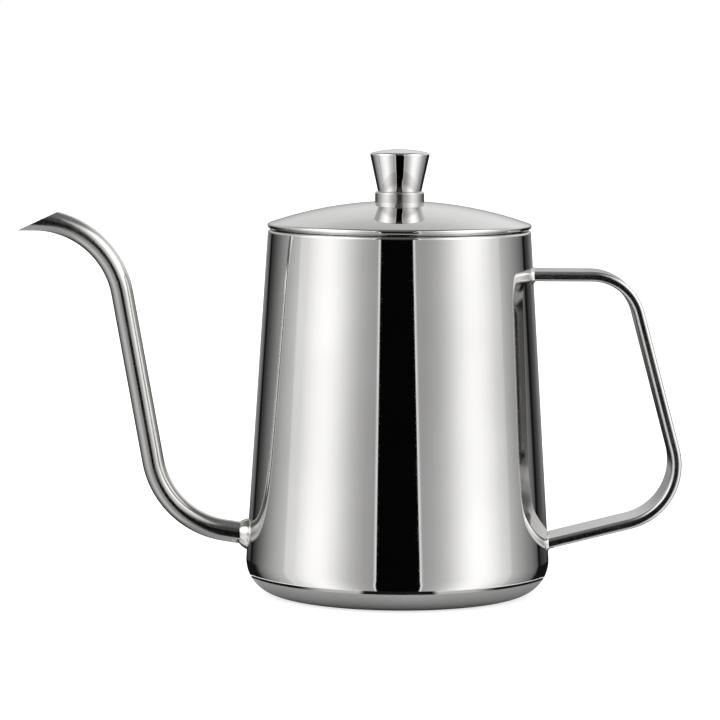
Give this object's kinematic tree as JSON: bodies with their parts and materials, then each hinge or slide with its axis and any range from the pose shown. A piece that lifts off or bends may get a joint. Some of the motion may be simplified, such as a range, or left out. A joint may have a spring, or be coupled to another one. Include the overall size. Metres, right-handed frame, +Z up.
{
  "type": "gooseneck kettle",
  "caption": "Tapered polished kettle with a thin gooseneck spout, a welded strip handle and a domed lift-off lid with a turned conical knob.",
  "frame": {"origin": "on the body's axis, at the plane of the foot ring that the kettle stands on", "axes": "+Z up along the body's axis, +X towards the handle, -X towards the spout, Y across"},
  "size_m": [0.2032, 0.093, 0.1361],
  "materials": {
    "polished_body": "mirror polished stainless steel",
    "brushed_base": "fine circular brushing",
    "polished_spout": "satin polished along its length, duller on its outer side",
    "weld_metal": "ground and buffed weld, slightly lumpy",
    "polished_handle": "soft satin polish along its length",
    "polished_lid": "mirror polished stainless steel",
    "brushed_skirt": "satin, as rolled",
    "polished_knob": "turned and mirror polished",
    "satin_collar": "satin, fine turning marks",
    "fastener_steel": "plain machined"
  },
  "bodies": {
    "kettle": {"body_shell": "polished_body", "base_plate": "brushed_base", "spout_tube": "polished_spout", "spout_weld_bead": "weld_metal", "handle_strip": "polished_handle", "handle_upper_weld": "weld_metal", "handle_lower_weld": "weld_metal"},
    "lid_ring": {"lid_skirt": "brushed_skirt"},
    "lid": {"lid_dome": "polished_lid", "knob_head": "polished_knob", "knob_collar": "satin_collar", "knob_washer": "fastener_steel", "knob_spring_washer": "fastener_steel", "knob_screw": "fastener_steel"}
  },
  "joints": [
    {"name": "lid_lift", "type": "slide", "parent": "kettle", "child": "lid_ring", "axis": [0, 0, 1], "range_m": [0, 0.06]},
    {"name": "lid_turn", "type": "hinge", "parent": "lid_ring", "child": "lid", "pos_m": [0, 0, 0.112], "axis": [0, 0, 1], "continuous": true}
  ]
}
